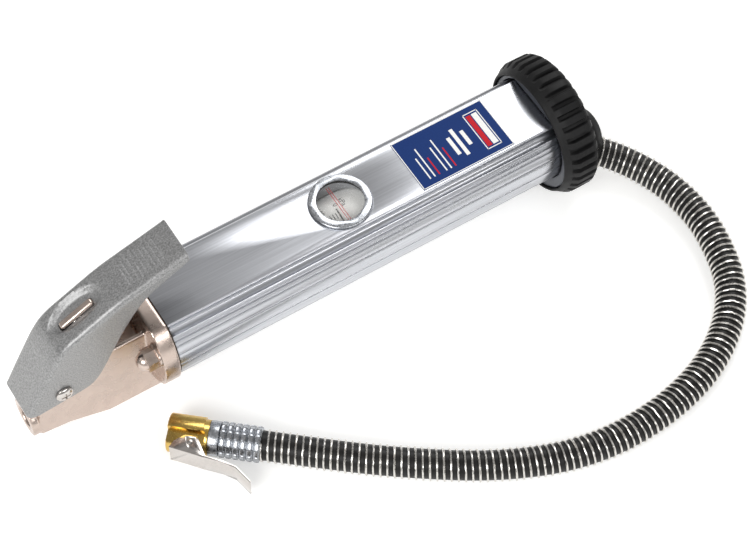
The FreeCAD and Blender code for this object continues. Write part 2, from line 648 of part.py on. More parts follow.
def make_boot():
    """Rubber boot over the hose fitting, open where the hose leaves it."""
    length = "(body_end + tail_reach - cap_back)"
    rim = "boot_radius"
    profile = [("0", "0"), ("0", rim), ("%s - boot_shoulder" % length, rim),
               ("%s - boot_tip" % length, rim + " - boot_wall"),
               (length, rim + " - boot_nose"), (length, "0")]
    at = ("cap_back", "-boot_side", "boot_height")
    outer = turned(profile, at)
    room = cylinder("boot_radius - boot_wall", "%s - boot_end" % length, at)
    way = hose_axis_cylinder("guard_radius + 3 * gap", -size("cap_plate"), size("2 * tail_reach"))
    node("hose_boot", cut(outer, room, way))


def make_tail():
    """Brass tail screwed into the cap, with the hose pushed over it."""
    seat = size("tail_seat")
    outer = hose_axis_cylinder("tail_radius", -seat, seat + size("tail_length"))
    bore = hose_axis_cylinder("tail_bore", -seat, seat + size("tail_length"))
    node("hose_tail", cut(outer, bore))


def make_hose():
    """Hose, and the sleeve that its spring guard fills, both along one path."""
    path = hose_path()
    start = HOSE_POINTS[0]
    way = HOSE_POINTS[1] - HOSE_POINTS[0]
    for label, outer, inner in (("hose", "hose_radius", "hose_bore"),
                                ("hose_guard", "guard_radius", "hose_radius")):
        solids = []
        for radius in (size(outer), size(inner)):
            ring = Part.Wire(Part.Circle(start, way, radius).toShape())
            solids.append(path.makePipeShell([ring], True, False))
        shape = solids[0].cut(solids[1])
        wanted = math.pi * (size(outer) ** 2 - size(inner) ** 2) * path.Length
        print(label, "length", round(path.Length, 1), "volume share", round(shape.Volume / wanted, 4))
        item = doc.addObject("Part::Feature", "Pipe")
        item.Shape = shape
        node(label, item)


# ---------------------------------------------------------------- connector on the hose's far end
def connector_frame():
    """Placement with its origin at the hose's far end, +X towards the connector's mouth."""
    way = HOSE_POINTS[-1] - HOSE_POINTS[-2]
    way.z = 0
    return FreeCAD.Placement(HOSE_POINTS[-1], FreeCAD.Rotation(V(1, 0, 0), way.normalize()))


def at_hose_end(label, item):
    """Carry a piece that was made about the X axis at the origin to the hose's far end."""
    holder = doc.addObject("Part::Compound", "AtHoseEnd")
    holder.Links = [item]
    holder.Placement = connector_frame()
    return node(label, holder)


def make_connector():
    """Crimped ferrule, barbed tail, brass clip-on body, its seal and the valve pusher."""
    here = ("0", "0", "0")
    barb = "tail_radius"
    low_edge = "ferrule_radius - ferrule_edge"
    at_hose_end("ferrule", turned(
        [("0", barb), ("0", low_edge), ("ferrule_edge", "ferrule_radius"),
         ("ferrule_length - ferrule_edge", "ferrule_radius"), ("ferrule_length", low_edge),
         ("ferrule_length", barb)], here))
    shoulder = "(ferrule_length + collar_length)"
    mouth = "(%s + connector_length)" % shoulder
    seal_x = "(%s - mouth_depth - seal_thickness)" % mouth
    at_hose_end("connector_tail", turned(
        [("0", "tail_bore"), ("0", barb), ("ferrule_length", barb),
         ("ferrule_length", "collar_radius"), (shoulder, "collar_radius"),
         (shoulder, "seal_radius"), (seal_x, "seal_radius"), (seal_x, "tail_bore")], here))
    step = "(connector_radius - step_depth)"
    shell = turned(
        [("0", "seal_radius"), ("0", step), ("step_length", step), ("step_length", "connector_radius"),
         ("connector_length - mouth_edge", "connector_radius"),
         ("connector_length", "connector_radius - mouth_edge"),
         ("connector_length", "mouth_radius"), ("connector_length - mouth_depth", "mouth_radius"),
         ("connector_length - mouth_depth", "seal_radius")], (shoulder, "0", "0"))
    cuts = []
    for low in ("clip_half - clip_wall - loose", "-connector_radius"):
        cuts.append(box("connector_length", "connector_radius",
                        "connector_radius - clip_half + clip_wall + loose",
                        ("%s + flank_cut" % shoulder, "flank_cut", low)))
    cuts.append(box("jaw_room", "connector_radius", "2 * (jaw_half + gap)",
                    ("%s - jaw_start" % mouth, "mouth_radius + 2 * loose", "-jaw_half - gap")))
    pin_x = "(%s - clip_station)" % mouth
    cuts.append(cylinder("clip_pin_radius", "2 * connector_radius",
                         (pin_x, "clip_offset", "-connector_radius"), "Z"))
    at_hose_end("connector_body", cut(shell, *cuts))
    at_hose_end("connector_seal", turned(tube_outline("seal_thickness", "seal_radius", "seal_bore"),
                                         (seal_x, "0", "0")))
    tip = "seal_thickness + pusher_foot"
    at_hose_end("valve_pusher", turned(
        [("0", "0"), ("0", "tail_bore"), ("pusher_foot", "tail_bore"),
         ("pusher_foot", "pusher_radius"), (tip, "pusher_radius"), (tip, "0")],
        ("%s - pusher_foot" % seal_x, "0", "0")))
    make_clip(pin_x)


def make_clip(pin_x):
    """Sprung lever on the connector's side, whose tooth holds the tyre valve."""
    at = (pin_x, "clip_offset", "0")
    over = "(connector_radius - clip_offset + clip_rise)"
    under_side = [("jaw_reach", over), ("-knuckle_reach", "knuckle_rise"),
                  ("-grip_reach", "grip_rise"), ("-bend_reach", "bend_rise"),
                  ("-clip_reach", "clip_stand")]
    top_side = [(across, "%s + clip_wall" % up) for across, up in reversed(under_side)]
    strip = side_plate(under_side + top_side, "clip_half", at, "XY_Plane")
    cheeks = side_plate(
        [("jaw_reach", "%s + cheek_tuck" % over), ("jaw_reach - cheek_nose", "cheek_lift"),
         ("cheek_half", "-cheek_drop"), ("-cheek_half", "-cheek_drop"),
         ("-knuckle_reach", "knuckle_rise + clip_wall / 2"),
         ("-knuckle_reach + clip_wall", "knuckle_rise + clip_wall")],
        "clip_half", at, "XY_Plane")
    room = box("2 * clip_reach", "2 * clip_stand", "2 * (clip_half - clip_wall)",
               ("0", "-clip_stand", "-clip_half + clip_wall"))
    tooth = side_plate(
        [("jaw_reach - tooth_length", "-tooth_drop"), ("jaw_reach - tooth_edge", "-tooth_lift"),
         ("jaw_reach", "%s + cheek_tuck" % over),
         ("jaw_reach - tooth_length", "%s + cheek_tuck" % over)], "jaw_half", at, "XY_Plane")
    hole = cylinder("clip_pin_radius + slip", "2 * clip_half",
                    (pin_x, "clip_offset", "-clip_half"), "Z")
    at_hose_end("clip_lever", fuse(strip, cut(cheeks, room, hole), tooth))
    end = "(clip_half + clip_pin_end)"
    at_hose_end("clip_pin", cylinder("clip_pin_radius", "2 * %s" % end,
                                     (pin_x, "clip_offset", "-%s" % end), "Z"))
    at_hose_end("clip_spring", helix_sleeve(
        "2 * jaw_half", "clip_pin_radius + clip_spring_rise", "clip_spring_wire",
        (pin_x, "clip_offset", "-jaw_half"), "Z"))


# ---------------------------------------------------------------- build, check and export
for make in (make_body, make_gaskets, make_head, make_inlet_filter, make_valve, make_lever,
             make_pivot, make_fasteners, make_gauge, make_window, make_label, make_rear_cap,
             make_ring, make_boot, make_tail, make_hose, make_connector):
    make()
doc.recompute()

faults = [item.Label for item in doc.Objects if "Invalid" in item.State or "Error" in item.State]
if faults:
    raise RuntimeError("objects that did not build: %s" % faults)
labels = [item.Label for item in NODES]
if len(set(labels)) != len(labels):
    raise RuntimeError("two pieces share a name")
for item in NODES:
    if item.Shape.isNull() or not item.Shape.isValid() or not item.Shape.Solids:
        raise RuntimeError("no valid solid in %s" % item.Label)

os.makedirs("parts", exist_ok=True)
for item in NODES:
    item.Shape.exportStep("parts/%s.step" % item.Label)
print(len(NODES), "nodes")
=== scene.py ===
"""Looks of a tyre inflator with a gauge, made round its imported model.

Metres, in the model's own frame: +X runs along the body from the inlet to the hose end, +Z is up.
"""
import json
import math

import bmesh
import bpy
from mathutils import Matrix, Vector


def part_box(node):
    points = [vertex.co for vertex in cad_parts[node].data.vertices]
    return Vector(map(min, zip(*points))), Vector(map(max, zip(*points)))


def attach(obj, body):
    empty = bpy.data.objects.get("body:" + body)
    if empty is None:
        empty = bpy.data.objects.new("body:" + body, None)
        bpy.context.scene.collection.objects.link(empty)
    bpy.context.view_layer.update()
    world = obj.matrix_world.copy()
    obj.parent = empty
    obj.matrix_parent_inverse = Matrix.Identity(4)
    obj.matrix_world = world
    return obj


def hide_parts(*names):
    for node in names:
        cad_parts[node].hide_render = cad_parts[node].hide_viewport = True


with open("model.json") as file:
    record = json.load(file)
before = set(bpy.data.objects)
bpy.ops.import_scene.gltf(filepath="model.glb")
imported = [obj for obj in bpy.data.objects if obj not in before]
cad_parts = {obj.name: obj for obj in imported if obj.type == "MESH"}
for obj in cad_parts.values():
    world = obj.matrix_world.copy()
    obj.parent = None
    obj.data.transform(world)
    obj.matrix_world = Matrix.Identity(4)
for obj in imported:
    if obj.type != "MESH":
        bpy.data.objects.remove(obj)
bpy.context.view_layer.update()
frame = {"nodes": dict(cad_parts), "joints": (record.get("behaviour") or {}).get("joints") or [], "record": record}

bl_info = {
    "name": "Tyre inflator with gauge",
    "version": (1, 0, 0),
    "blender": (4, 5, 0),
    "location": "View3D > Sidebar > Inflator",
    "description": "Builds the finished surfaces of a tyre inflator round its packed model",
    "category": "Object",
}

MM = 0.001
TURN = math.tau

NODES = frame["nodes"]
SLOT_OF = {part["node"]: part["material_slot"] for part in frame["record"]["subparts"]}
BODY_OF = {name: body for body, names in frame["record"]["behaviour"]["bodies"].items() for name in names}
JOINT = {joint["name"]: joint for joint in frame["joints"]}

# route of the hose in millimetres: along the tool from the back of the rear cap, across it, and up
HOSE_ROUTE = [
    (1.6, -3.9, 17.4), (16.2, -14.5, 13.2), (30.7, -33.0, 9.6), (38.7, -56.0, 8.5),
    (39.2, -83.0, 8.4), (27.7, -118.5, 8.4), (-2.3, -143.5, 8.4), (-40.8, -154.5, 8.4),
    (-83.8, -153.5, 8.4), (-124.3, -137.5, 8.4), (-163.3, -111.0, 8.8), (-192.3, -88.0, 9.7),
    (-214.3, -69.0, 9.7),
]
# side view of the lever in millimetres from its pivot: a point on the web, and the cheek's edge under it
LEVER_RIBS = [
    ((-19.3, -7.2), (-14.0, -8.6)), ((-12.5, 5.5), (-7.0, -7.9)), ((-6.0, 17.5), (0.0, -7.2)),
    ((-0.7, 27.4), (10.0, -6.2)), ((5.2, 34.4), (16.1, -4.4)), ((13.5, 38.5), (21.9, 4.3)),
    ((20.0, 41.8), (27.3, 14.9)), ((27.5, 45.5), (34.0, 26.5)), ((33.9, 48.7), (41.0, 37.1)),
    ((44.0, 51.9), (48.3, 44.7)), ((57.0, 55.9), (59.0, 50.2)), ((70.3, 60.1), (70.3, 56.1)),
]
WEB_START = 4
WEB_END = 8


def linear(code):
    """Linear colour of an sRGB hex value."""
    channels = [int(code[at:at + 2], 16) / 255 for at in (1, 3, 5)]
    return tuple(c / 12.92 if c <= 0.04045 else ((c + 0.055) / 1.055) ** 2.4 for c in channels)


# ---------------------------------------------------------------- what a user may change
def colour(name, code, description):
    return bpy.props.FloatVectorProperty(name=name, description=description, default=linear(code),
                                         subtype="COLOR", min=0.0, max=1.0)


def length(name, millimetres, description):
    return bpy.props.FloatProperty(name=name, description=description, default=millimetres * MM,
                                   unit="LENGTH", subtype="DISTANCE", min=0.0, precision=5)


class InflatorSizes(bpy.types.PropertyGroup):
    """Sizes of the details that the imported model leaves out."""
    hose_diameter: length("Hose diameter", 14.2, "Outside of the rubber hose, under its wire")
    hose_length: length("Hose length", 407.0, "Length of the hose between its two fittings")
    guard_pitch: length("Guard pitch", 3.3, "Distance between the turns of the guard wire")
    guard_wire: length("Guard wire", 1.1, "Thickness of the guard wire")
    tread_depth: length("Tread depth", 2.2, "Depth of the grooves across the rubber ring")
    tread_count: bpy.props.IntProperty(name="Tread count", description="Grooves round the rubber ring",
                                       default=36, min=6, max=90)
    lever_sheet: length("Lever sheet", 1.6, "Thickness of the lever's pressed sheet")
    lever_bend: length("Lever bend", 2.6, "Outer radius where the web turns down into the cheeks")
    dish_depth: length("Dish depth", 2.1, "Depth of the dish pressed round the lever's slot")
    scale_step: length("Scale step", 1.6, "Distance between the marks of the pressure scale")


class InflatorColours(bpy.types.PropertyGroup):
    """Colours of the finishes."""
    aluminium: colour("Aluminium", "#c6c8cd", "Clear anodised body")
    casting: colour("Casting", "#c6b6ac", "Satin nickel over the head's casting, which is a little warm")
    bright_plate: colour("Bright plate", "#c9c4c0", "Bright nickel on the clip, screws and nuts")
    zinc_plate: colour("Zinc plate", "#b4b7bc", "Zinc on the ferrule, its collar and the window ring")
    enamel: colour("Hammered enamel", "#949494", "Silver hammered paint on the lever")
    brass: colour("Brass", "#cfae62", "Turned brass of the connector")
    hose_rubber: colour("Hose rubber", "#121110", "Hose")
    ring_rubber: colour("Ring rubber", "#0d0d0e", "Protective ring and boot")
    cap_paint: colour("Cap paint", "#3f4249", "Satin grey of the rear cap")
    wire: colour("Wire", "#d6d3ce", "Drawn steel wire")
    label_blue: colour("Label blue", "#14336e", "Printed label")
    print_white: colour("White print", "#f1f1ee", "White ink, and the scale's drum")
    print_red: colour("Red print", "#c01f29", "Red ink")
    print_black: colour("Black print", "#17181a", "Black ink")


# ---------------------------------------------------------------- materials
MATERIALS = {}


def add(tree, kind, options=(), **sockets):
    """Add one shader node, set its options, and fill or link its sockets."""
    node = tree.nodes.new("ShaderNode" + kind)
    for name, value in dict(options).items():
        setattr(node, name, value)
    for name, value in sockets.items():
        wanted = (name, name.replace("_", " "))
        socket = next(s for s in node.inputs if s.identifier in wanted or s.name in wanted)
        if isinstance(value, bpy.types.NodeSocket):
            tree.links.new(value, socket)
        else:
            socket.default_value = value
    return node


def cells(millimetres):
    """Texture scale whose features are about this many millimetres apart."""
    return 1 / (millimetres * MM)


def new_material(name, **settings):
    """A material with a principled shader that has these settings."""
    material = bpy.data.materials.new(name)
    material.use_nodes = True
    tree = material.node_tree
    tree.nodes.clear()
    shader = add(tree, "BsdfPrincipled", **settings)
    add(tree, "OutputMaterial", Surface=shader.outputs["BSDF"])
    return material, tree, shader


def noise(tree, millimetres, stretch=(1, 1, 1), detail=2.0):
    """Value of a noise on object coordinates, drawn out by the stretch."""
    where = add(tree, "TexCoord").outputs["Object"]
    scale = tuple(1 / s for s in stretch)
    mapped = add(tree, "Mapping", Vector=where, Scale=scale).outputs["Vector"]
    texture = add(tree, "TexNoise", Vector=mapped, Scale=cells(millimetres), Detail=detail)
    return texture.outputs["Fac"]


def between(tree, factor, low, high):
    """The factor's 0.3 to 0.7, which is where a noise lies, spread from low to high."""
    spread = add(tree, "MapRange", Value=factor, From_Min=0.3, From_Max=0.7, To_Min=low, To_Max=high)
    return spread.outputs["Result"]


def set_colour(tree, shader, factor, base, low, high):
    mixed = add(tree, "Mix", {"data_type": "RGBA"}, Factor_Float=between(tree, factor, 0.0, 1.0),
                A_Color=(*(c * low for c in base), 1),
                B_Color=(*(min(1.0, c * high) for c in base), 1))
    tree.links.new(mixed.outputs[2], shader.inputs["Base Color"])


def set_roughness(tree, shader, factor, low, high):
    tree.links.new(between(tree, factor, low, high), shader.inputs["Roughness"])


def set_bump(tree, shader, height, millimetres, strength=1.0):
    bump = add(tree, "Bump", Strength=strength, Distance=millimetres * MM, Height=height)
    tree.links.new(bump.outputs["Normal"], shader.inputs["Normal"])


def anodised_aluminium(colours):
    """Extruded and clear anodised: satin, with die lines that run the whole length of the tube."""
    material, tree, shader = new_material("satin_anodised_aluminium", Metallic=1.0)
    die_lines = noise(tree, 0.9, stretch=(60, 1, 1), detail=4.0)
    clouds = noise(tree, 30.0, stretch=(3, 1, 1))
    set_colour(tree, shader, die_lines, colours.aluminium, 0.86, 1.05)
    set_roughness(tree, shader, clouds, 0.24, 0.36)
    set_bump(tree, shader, die_lines, 0.02, 0.6)
    return material


def nickel_casting(colours):
    """Zinc die casting, tumbled and nickel plated: warm, smooth, with soft waves in the reflections."""
    material, tree, shader = new_material("satin_nickel_die_casting", Metallic=1.0)
    waves = noise(tree, 9.0)
    grain = noise(tree, 0.6, detail=3.0)
    set_colour(tree, shader, waves, colours.casting, 0.92, 1.06)
    set_roughness(tree, shader, waves, 0.22, 0.34)
    set_bump(tree, shader, grain, 0.03, 0.5)
    return material


def bright_nickel(colours):
    """Bright nickel on pressed or turned steel: sharp reflections with faint polishing marks."""
    material, tree, shader = new_material("bright_nickel_plate", Metallic=1.0)
    polish = noise(tree, 1.5, stretch=(4, 1, 1), detail=3.0)
    set_colour(tree, shader, polish, colours.bright_plate, 0.92, 1.03)
    set_roughness(tree, shader, polish, 0.12, 0.24)
    set_bump(tree, shader, polish, 0.02, 0.4)
    return material


def zinc_plate(colours):
    """Bright zinc on soft steel: bluish grey, a little uneven. Ferrule, collar and window ring."""
    material, tree, shader = new_material("bright_zinc_plate", Metallic=1.0)
    marks = noise(tree, 1.2, detail=4.0)
    set_colour(tree, shader, marks, colours.zinc_plate, 0.78, 1.06)
    set_roughness(tree, shader, marks, 0.18, 0.34)
    set_bump(tree, shader, marks, 0.06, 0.6)
    return material


def hammered_enamel(colours):
    """Hammered silver enamel: aluminium flake gathered in specks of about a millimetre."""
    material, tree, shader = new_material("hammered_silver_enamel", Metallic=0.55)
    shader.inputs["Coat Weight"].default_value = 0.25
    shader.inputs["Coat Roughness"].default_value = 0.25
    specks = noise(tree, 0.75, detail=3.0)
    dimples = noise(tree, 1.6, detail=1.0)
    set_colour(tree, shader, specks, colours.enamel, 0.62, 1.28)
    set_roughness(tree, shader, specks, 0.34, 0.5)
    set_bump(tree, shader, dimples, 0.16, 0.8)
    return material


def turned_brass(colours):
    """Free-cutting brass, turned and left bare: yellow, with fine rings of the tool."""
    material, tree, shader = new_material("turned_brass", Metallic=1.0)
    tone = noise(tree, 5.0)
    cuts = noise(tree, 0.5, detail=2.0)
    set_colour(tree, shader, tone, colours.brass, 0.88, 1.05)
    set_roughness(tree, shader, cuts, 0.16, 0.28)
    set_bump(tree, shader, cuts, 0.015, 0.5)
    return material


def moulded_rubber(name, base, low, high):
    """Moulded rubber: near black, dull, with a skin that is dusty here and there."""
    material, tree, shader = new_material(name, Specular_IOR_Level=0.3)
    bloom = noise(tree, 6.0, detail=4.0)
    skin = noise(tree, 0.5, detail=2.0)
    set_colour(tree, shader, bloom, base, 0.8, 1.3)
    set_roughness(tree, shader, bloom, low, high)
    set_bump(tree, shader, skin, 0.05, 0.5)
    return material


def black_rubber(colours):
    """Nitrile rubber of the ring and boot, with a matt mould texture."""
    return moulded_rubber("moulded_black_rubber", colours.ring_rubber, 0.5, 0.66)


def hose_rubber(colours):
    """Extruded rubber of the hose, a little smoother than the mouldings."""
    return moulded_rubber("extruded_hose_rubber", colours.hose_rubber, 0.38, 0.5)


def seal_rubber(colours):
    """Soft black rubber of the seals."""
    return moulded_rubber("seal_rubber", colours.hose_rubber, 0.4, 0.5)


def drawn_wire(colours):
    """Hard drawn spring wire, bright, with draw marks too fine to see but as a soft sheen."""
    material, tree, shader = new_material("bright_drawn_wire", Metallic=1.0)
    marks = noise(tree, 0.8, detail=2.0)
    set_colour(tree, shader, marks, colours.wire, 0.85, 1.08)
    set_roughness(tree, shader, marks, 0.2, 0.32)
    return material


def satin_grey_paint(colours):
    """Satin grey lacquer over the turned rear cap, with the faintest orange peel."""
    material, tree, shader = new_material("satin_grey_lacquer", Metallic=0.3)
    peel = noise(tree, 1.1)
    set_colour(tree, shader, peel, colours.cap_paint, 0.9, 1.1)
    set_roughness(tree, shader, peel, 0.3, 0.38)
    set_bump(tree, shader, peel, 0.02, 0.4)
    return material


def printed(name, base, roughness):
    """Printing ink on film: even, with slight mottling."""
    material, tree, shader = new_material(name, Roughness=roughness, Specular_IOR_Level=0.08)
    mottle = noise(tree, 0.8)
    set_colour(tree, shader, mottle, base, 0.94, 1.06)
    return material


def label_film(colours):
    """Deep blue printing on a satin film."""
    return printed("satin_blue_label", colours.label_blue, 0.42)


def drum_print(colours):
    """White matt plastic that takes the scale's ink."""
    return printed("white_scale_plastic", colours.print_white, 0.45)


def white_ink(colours):
    """White screen print."""
    return printed("white_ink", colours.print_white, 0.4)


def red_ink(colours):
    """Red screen print."""
    return printed("red_ink", colours.print_red, 0.4)


def black_ink(colours):
    """Black screen print."""
    return printed("black_ink", colours.print_black, 0.45)


def clear_acrylic(colours):
    """Moulded acrylic: clear, glossy, with the haze of fine handling marks."""
    material, tree, shader = new_material("clear_acrylic", Alpha=0.04, IOR=1.49)
    haze = noise(tree, 4.0, detail=3.0)
    set_colour(tree, shader, haze, colours.print_white, 0.98, 1.0)
    set_roughness(tree, shader, haze, 0.03, 0.08)
    return material


def gasket_fibre(colours):
    """Pressed fibre sheet, dull brown black and speckled."""
    return moulded_rubber("gasket_fibre", linear("#453c35"), 0.7, 0.85)


FINISHES = {
    "anodised_aluminium": anodised_aluminium, "nickel_casting": nickel_casting,
    "plated_steel": bright_nickel, "zinc_plate": zinc_plate, "hammered_paint": hammered_enamel,
    "brass": turned_brass, "black_rubber": black_rubber, "hose_rubber": hose_rubber,
    "seal_rubber": seal_rubber, "spring_steel": drawn_wire, "grey_cap": satin_grey_paint,
    "printed_drum": drum_print, "printed_label": label_film, "clear_lens": clear_acrylic,
    "fibre": gasket_fibre, "white_ink": white_ink, "red_ink": red_ink, "black_ink": black_ink,
}


def material(finish):
    """The material of a finish, made the first time that it is asked for."""
    if finish not in MATERIALS:
        MATERIALS[finish] = FINISHES[finish](bpy.context.scene.inflator_colours)
    return MATERIALS[finish]


# ---------------------------------------------------------------- ways to make a piece
def link(name, data):
    item = bpy.data.objects.new(name, data)
    bpy.context.scene.collection.objects.link(item)
    return item


def finished(name, bm, body, slot, stands_for=(), finish=None):
    """Make an object of a mesh, shade it, give it its material, and let it ride on its body."""
    crease = math.radians(38)
    for edge in bm.edges:
        edge.smooth = len(edge.link_faces) != 2 or edge.calc_face_angle(0.0) < crease
    for face in bm.faces:
        face.smooth = True
    mesh = bpy.data.meshes.new(name)
    bm.to_mesh(mesh)
    bm.free()
    mesh.materials.append(material(finish or slot))
    item = link(name, mesh)
    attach(item, body)
    if stands_for:
        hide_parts(*stands_for)
    return item


def lathe(profile, centre, axis, steps=72, closed=False):
    """Turn a profile of (along, radius) in metres about an axis through the centre."""
    bm = bmesh.new()
    side = axis.orthogonal().normalized()
    verts = [bm.verts.new(centre + axis * along + side * radius) for along, radius in profile]
    edges = [bm.edges.new(pair) for pair in zip(verts, verts[1:])]
    if closed:
        edges.append(bm.edges.new((verts[-1], verts[0])))
    bmesh.ops.spin(bm, geom=verts + edges, cent=centre, axis=axis, dvec=(0, 0, 0), angle=TURN,
                   steps=steps, use_merge=True, use_duplicate=False)
    bmesh.ops.remove_doubles(bm, verts=bm.verts, dist=1e-6)
    bmesh.ops.recalc_face_normals(bm, faces=bm.faces)
    return bm


def round_edges(bm, width, segments=2, angle=30.0):
    """Bevel every edge that is sharper than the angle."""
    sharp = [e for e in bm.edges
             if len(e.link_faces) == 2 and e.calc_face_angle(0.0) > math.radians(angle)]
    bmesh.ops.bevel(bm, geom=sharp, offset=width, offset_type="OFFSET", segments=segments, profile=0.5,
                    affect="EDGES", clamp_overlap=True, material=-1)


def cad_copy(node):
    """A merged copy of a CAD node's mesh, with its flat faces whole again."""
    bm = bmesh.new()
    bm.from_mesh(NODES[node].data)
    bmesh.ops.remove_doubles(bm, verts=bm.verts, dist=2e-6)
    bmesh.ops.dissolve_limit(bm, angle_limit=math.radians(0.6), verts=bm.verts, edges=bm.edges)
    return bm


def rounded_node(node, width, segments=2, finish=None):
    """A CAD node with its edges broken, as a deburred or polished part has them."""
    bm = cad_copy(node)
    round_edges(bm, width, segments)
    return finished(node + "_finished", bm, BODY_OF[node], SLOT_OF[node], [node], finish)


def evaluated_mesh(item):
    """The mesh of an object with its modifiers applied. The object is removed."""
    depsgraph = bpy.context.evaluated_depsgraph_get()
    mesh = bpy.data.meshes.new_from_object(item.evaluated_get(depsgraph))
    bpy.data.objects.remove(item)
    return mesh


def melted_node(node, grid, rounds):
    """A CAD node with every edge and inner corner blended, as a casting or moulding has them."""
    bm = cad_copy(node)
    mesh = bpy.data.meshes.new(node + "_rough")
    bm.to_mesh(mesh)
    bm.free()
    item = link(node + "_rough", mesh)
    remesh = item.modifiers.new("Grid", "REMESH")
    remesh.mode = "VOXEL"
    remesh.voxel_size = grid
    smooth = item.modifiers.new("Blend", "SMOOTH")
    smooth.factor = 0.5
    smooth.iterations = rounds
    soft = bmesh.new()
    soft.from_mesh(evaluated_mesh(item))
    return finished(node + "_finished", soft, BODY_OF[node], SLOT_OF[node], [node])


def bar(bm, centre, size, turn=Matrix.Identity(4)):
    """Add a block of this size to a mesh."""
    place = Matrix.Translation(centre) @ turn @ Matrix.Diagonal((*size, 1))
    return bmesh.ops.create_cube(bm, size=1.0, matrix=place)["verts"]


def middle(node):
    low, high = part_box(node)
    return (low + high) / 2


# ---------------------------------------------------------------- stage
CAMERA_AIM = Vector((16.05, -28.5, 30.0)) * MM
CAMERA_DISTANCE = 1.0632
CAMERA_AZIMUTH = math.radians(-33.2)
CAMERA_ELEVATION = math.radians(58.3)
CAMERA_ROLL = math.radians(1.32)
CAMERA_LENS = 105.7
CAMERA_SHIFT = (-0.0009, 0.0020)


def turned_to(azimuth, elevation):
    """Rotation of a camera or lamp that looks at the object from that side."""
    return Matrix.Rotation(azimuth, 4, "Z") @ Matrix.Rotation(math.pi / 2 - elevation, 4, "X")


def lamp(name, azimuth, elevation, distance, size, watts):
    """A rectangular soft box that points at the object."""
    data = bpy.data.lights.new(name, "AREA")
    data.shape = "RECTANGLE"
    data.size, data.size_y = size
    data.energy = watts
    item = link(name, data)
    turn = turned_to(math.radians(azimuth), math.radians(elevation))
    item.matrix_world = Matrix.Translation(CAMERA_AIM) @ turn @ Matrix.Translation((0, 0, distance))
    return item


class STAGE_OT_inflator(bpy.types.Operator):
    """Make the camera, the pale floor and the soft lamps."""
    bl_idname = "inflator.stage"
    bl_label = "Stage"

    def execute(self, context):
        data = bpy.data.cameras.new("camera")
        data.lens = CAMERA_LENS
        data.shift_x, data.shift_y = CAMERA_SHIFT
        camera = link("camera", data)
        turn = turned_to(CAMERA_AZIMUTH, CAMERA_ELEVATION) @ Matrix.Rotation(CAMERA_ROLL, 4, "Z")
        camera.matrix_world = (Matrix.Translation(CAMERA_AIM) @ turn
                               @ Matrix.Translation((0, 0, CAMERA_DISTANCE)))
        context.scene.camera = camera

        bm = bmesh.new()
        bmesh.ops.create_grid(bm, x_segments=1, y_segments=1, size=6.0)
        mesh = bpy.data.meshes.new("floor")
        bm.to_mesh(mesh)
        bm.free()
        pale = linear("#f4f4f3")
        surface, tree, shader = new_material("pale_matt_board", Roughness=0.8, Emission_Strength=0.42,
                                             Emission_Color=(*pale, 1))
        set_colour(tree, shader, noise(tree, 40.0), pale, 0.995, 1.0)
        mesh.materials.append(surface)
        link("floor", mesh)

        world = bpy.data.worlds.new("studio")
        world.use_nodes = True
        background = world.node_tree.nodes["Background"]
        background.inputs["Color"].default_value = (*linear("#e9e8e7"), 1)
        background.inputs["Strength"].default_value = 0.5
        context.scene.world = world
        lamp("rear_box", 128, 46, 1.7, (1.0, 0.9), 12)
        lamp("front_box", -62, 38, 1.5, (0.9, 0.7), 13)
        lamp("side_strip", 15, 30, 1.6, (1.5, 0.22), 6)
        context.scene.view_settings.view_transform = "Standard"
        return {"FINISHED"}


# ---------------------------------------------------------------- hose
def spline_points(curve):
    """Points along a curve's own line, read from it without its thickness."""
    bare = curve.copy()
    bare.bevel_depth = 0.0
    item = link("bare_line", bare)
    mesh = evaluated_mesh(item)
    return [vert.co.copy() for vert in mesh.vertices]


def even_steps(points, step):
    """Points spaced evenly along a line."""
    found = [points[0]]
    carried = 0.0
    for start, end in zip(points, points[1:]):
        run = (end - start).length
        at = step - carried
        while at <= run:
            found.append(start.lerp(end, at / run))
            at += step
        carried = run - (at - step)
    return found


def helix(points, radius, pitch, around):
    """A helix round a line that is given as evenly spaced points, with so many points a turn."""
    sampled = even_steps(points, pitch / around)
    side = (sampled[1] - sampled[0]).orthogonal().normalized()
    turns = []
    for number, (here, there) in enumerate(zip(sampled, sampled[1:])):
        way = (there - here).normalized()
        side = (side - way * side.dot(way)).normalized()
        angle = TURN * number / around
        turns.append(here + (side * math.cos(angle) + way.cross(side) * math.sin(angle)) * radius)
    return turns


def wire(name, points, radius, sides=2):
    """Mesh of a round wire that follows the points."""
    curve = bpy.data.curves.new(name, "CURVE")
    curve.dimensions = "3D"
    curve.bevel_depth = radius
    curve.bevel_resolution = sides
    curve.use_fill_caps = True
    spline = curve.splines.new("POLY")
    spline.points.add(len(points) - 1)
    for place, point in zip(spline.points, points):
        place.co = (*point, 1)
    bm = bmesh.new()
    bm.from_mesh(evaluated_mesh(link(name, curve)))
    return bm


